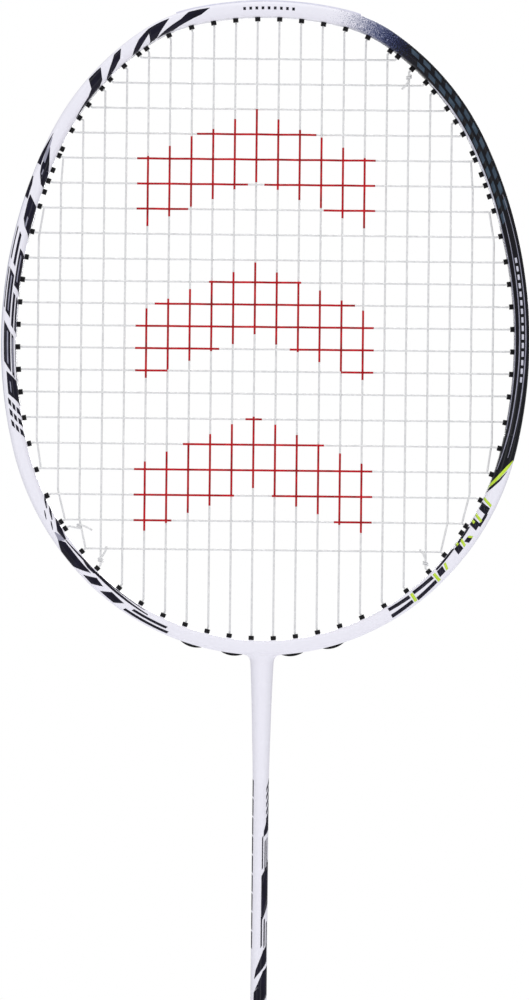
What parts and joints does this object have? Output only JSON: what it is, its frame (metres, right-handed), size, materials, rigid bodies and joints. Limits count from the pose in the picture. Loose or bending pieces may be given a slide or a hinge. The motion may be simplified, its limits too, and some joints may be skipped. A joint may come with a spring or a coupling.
{
  "type": "badminton racket",
  "caption": "Full-size badminton racket with an isometric oval head strung with mains and crosses, a slim one-piece shaft and an octagonal wrapped handle.",
  "frame": {"origin": "centre of the flat butt face at the bottom of the handle", "axes": "+Z along the shaft from the butt to the top of the head, +X in the plane of the strings, Y along the normal of that plane"},
  "size_m": [0.1948, 0.0282, 0.675],
  "materials": {
    "frame_paint": "white lacquer over moulded carbon fibre, with dark and lime graphic bars",
    "shaft_paint": "white lacquer over a carbon tube, with dark strokes",
    "joint_alloy": "plain cast alloy",
    "grommet_nylon": "black nylon",
    "guard_film": "soft white protective strip",
    "string_nylon": "white coated multifilament nylon with red stencil ink",
    "cone_plastic": "white moulded plastic",
    "cap_plastic": "black moulded plastic",
    "badge_film": "plain silver disc",
    "core_wood": "light hardwood",
    "grip_polyurethane": "black synthetic leather, wrapped",
    "tape_vinyl": "black stretch tape",
    "staple_steel": "bare wire"
  },
  "bodies": {
    "root": {"head_frame": "frame_paint", "t_joint": "joint_alloy", "shaft": "shaft_paint", "top_guard_strip": "guard_film", "throat_strip_right": "grommet_nylon", "throat_strip_left": "grommet_nylon", "main_grommets_top": "grommet_nylon", "main_grommets_bottom": "grommet_nylon", "cross_grommets_right": "grommet_nylon", "cross_grommets_left": "grommet_nylon", "shared_grommets": "grommet_nylon", "spare_grommets": "grommet_nylon", "main_string": "string_nylon", "cross_string": "string_nylon", "butt_badge": "badge_film", "butt_staples": "staple_steel", "butt_cap": "cap_plastic", "handle_core": "core_wood", "handle_cone": "cone_plastic", "grip_wrap": "grip_polyurethane", "finishing_tape": "tape_vinyl"}
  },
  "joints": []
}
